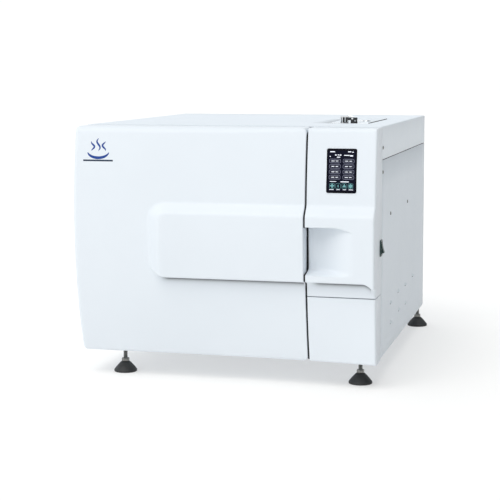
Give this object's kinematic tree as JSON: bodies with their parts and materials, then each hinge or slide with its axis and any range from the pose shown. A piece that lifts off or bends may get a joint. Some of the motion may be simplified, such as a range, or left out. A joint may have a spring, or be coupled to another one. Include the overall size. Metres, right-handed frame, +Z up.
{
  "type": "benchtop autoclave",
  "caption": "Front-loading benchtop steam steriliser: white moulded door with a raised band, control column with touch screen and grip recess, sheet-metal cabinet on levelling feet.",
  "frame": {"origin": "centre of the footprint on the bench, under the middle of the bounding box", "axes": "+X to the right seen from the front, +Y to the back, +Z up; the door and screen face -Y"},
  "size_m": [0.579, 0.768, 0.49],
  "materials": {
    "white_moulding": "satin moulded white",
    "white_sheet": "fine-grain white powder coat",
    "stainless": "brushed",
    "chrome": "polished",
    "foot_rubber": "matt black",
    "silicone": "matt",
    "black_plastic": "matt",
    "screen_glass": "polished black glass front",
    "aluminium": "as cast and extruded",
    "mineral_wool": "matt wool",
    "brass": "machined",
    "tank_plastic": "natural moulded",
    "circuit_board": "solder resist",
    "motor_iron": "painted grey"
  },
  "bodies": {
    "cabinet": {"base_plate": "white_sheet", "side_panel_left": "white_sheet", "side_panel_right": "white_sheet", "top_cover": "white_sheet", "front_frame": "white_sheet", "rear_panel": "white_sheet", "control_column": "white_moulding", "touch_screen": "screen_glass", "rocker_bezel": "black_plastic", "service_cover_hinge": "stainless", "hinge_bracket": "stainless", "hinge_pin": "stainless", "lock_housing": "black_plastic", "chamber_vessel": "stainless", "chamber_insulation": "mineral_wool", "tray_rack": "stainless", "tray_lower": "stainless", "tray_middle": "stainless", "tray_upper": "stainless", "steam_generator": "stainless", "vacuum_pump": "aluminium", "pump_motor": "motor_iron", "condenser": "aluminium", "fan_frame": "black_plastic", "clean_water_tank": "tank_plastic", "waste_water_tank": "tank_plastic", "control_board": "circuit_board", "power_supply": "aluminium", "valve_manifold": "brass", "mains_inlet": "black_plastic", "exhaust_port": "brass", "drain_valve_clean": "brass", "drain_valve_waste": "brass", "safety_valve_body": "chrome"},
    "door": {"door_shell": "white_moulding", "door_liner": "white_sheet", "door_plate": "stainless", "door_gasket": "silicone", "door_arm": "stainless", "door_striker": "stainless"},
    "service_cover": {"service_cover": "white_moulding"},
    "tank_lid": {"tank_lid": "white_sheet"},
    "power_rocker": {"power_rocker": "black_plastic"},
    "lock_bolt": {"lock_bolt": "stainless"},
    "fan_impeller": {"fan_impeller": "black_plastic"},
    "drain_knob_clean": {"drain_knob_clean": "black_plastic"},
    "drain_knob_waste": {"drain_knob_waste": "black_plastic"},
    "safety_valve_lever": {"safety_valve_lever": "chrome"},
    "foot_front_left": {"foot_pad_front_left": "foot_rubber", "foot_stem_front_left": "stainless", "foot_locknut_front_left": "stainless"},
    "foot_front_right": {"foot_pad_front_right": "foot_rubber", "foot_stem_front_right": "stainless", "foot_locknut_front_right": "stainless"},
    "foot_rear_left": {"foot_pad_rear_left": "foot_rubber", "foot_stem_rear_left": "stainless", "foot_locknut_rear_left": "stainless"},
    "foot_rear_right": {"foot_pad_rear_right": "foot_rubber", "foot_stem_rear_right": "stainless", "foot_locknut_rear_right": "stainless"}
  },
  "joints": [
    {"name": "door_swing", "type": "hinge", "parent": "cabinet", "child": "door", "pos_m": [-0.2765, -0.31, 0.261], "axis": [0, 0, -1], "range_deg": [0, 105]},
    {"name": "service_cover_swing", "type": "hinge", "parent": "cabinet", "child": "service_cover", "pos_m": [0.2765, -0.298, 0.11], "axis": [0, 0, 1], "range_deg": [0, 90]},
    {"name": "tank_lid_hinge", "type": "hinge", "parent": "cabinet", "child": "tank_lid", "pos_m": [0.1875, 0.1154, 0.4734], "axis": [-1, 0, 0], "range_deg": [0, 100]},
    {"name": "power_rocker_tilt", "type": "hinge", "parent": "cabinet", "child": "power_rocker", "pos_m": [0.2775, -0.305, 0.2565], "axis": [0, 1, 0], "range_deg": [0, 16]},
    {"name": "lock_bolt_slide", "type": "slide", "parent": "cabinet", "child": "lock_bolt", "axis": [-1, 0, 0], "range_m": [0, 0.018]},
    {"name": "fan_spin", "type": "hinge", "parent": "cabinet", "child": "fan_impeller", "pos_m": [-0.1735, 0.354, 0.33], "axis": [0, 1, 0], "continuous": true},
    {"name": "drain_knob_clean_turn", "type": "hinge", "parent": "cabinet", "child": "drain_knob_clean", "pos_m": [0.1885, -0.312, 0.108], "axis": [0, 1, 0], "range_deg": [0, 90]},
    {"name": "drain_knob_waste_turn", "type": "hinge", "parent": "cabinet", "child": "drain_knob_waste", "pos_m": [0.2225, -0.312, 0.108], "axis": [0, 1, 0], "range_deg": [0, 90]},
    {"name": "safety_valve_pull", "type": "hinge", "parent": "cabinet", "child": "safety_valve_lever", "pos_m": [0.1985, -0.094, 0.48], "axis": [0, -1, 0], "range_deg": [0, 35]},
    {"name": "foot_front_left_screw", "type": "slide", "parent": "cabinet", "child": "foot_front_left", "axis": [0, 0, -1], "range_m": [-0.012, 0.012]},
    {"name": "foot_front_right_screw", "type": "slide", "parent": "cabinet", "child": "foot_front_right", "axis": [0, 0, -1], "range_m": [-0.012, 0.012]},
    {"name": "foot_rear_left_screw", "type": "slide", "parent": "cabinet", "child": "foot_rear_left", "axis": [0, 0, -1], "range_m": [-0.012, 0.012]},
    {"name": "foot_rear_right_screw", "type": "slide", "parent": "cabinet", "child": "foot_rear_right", "axis": [0, 0, -1], "range_m": [-0.012, 0.012]}
  ]
}
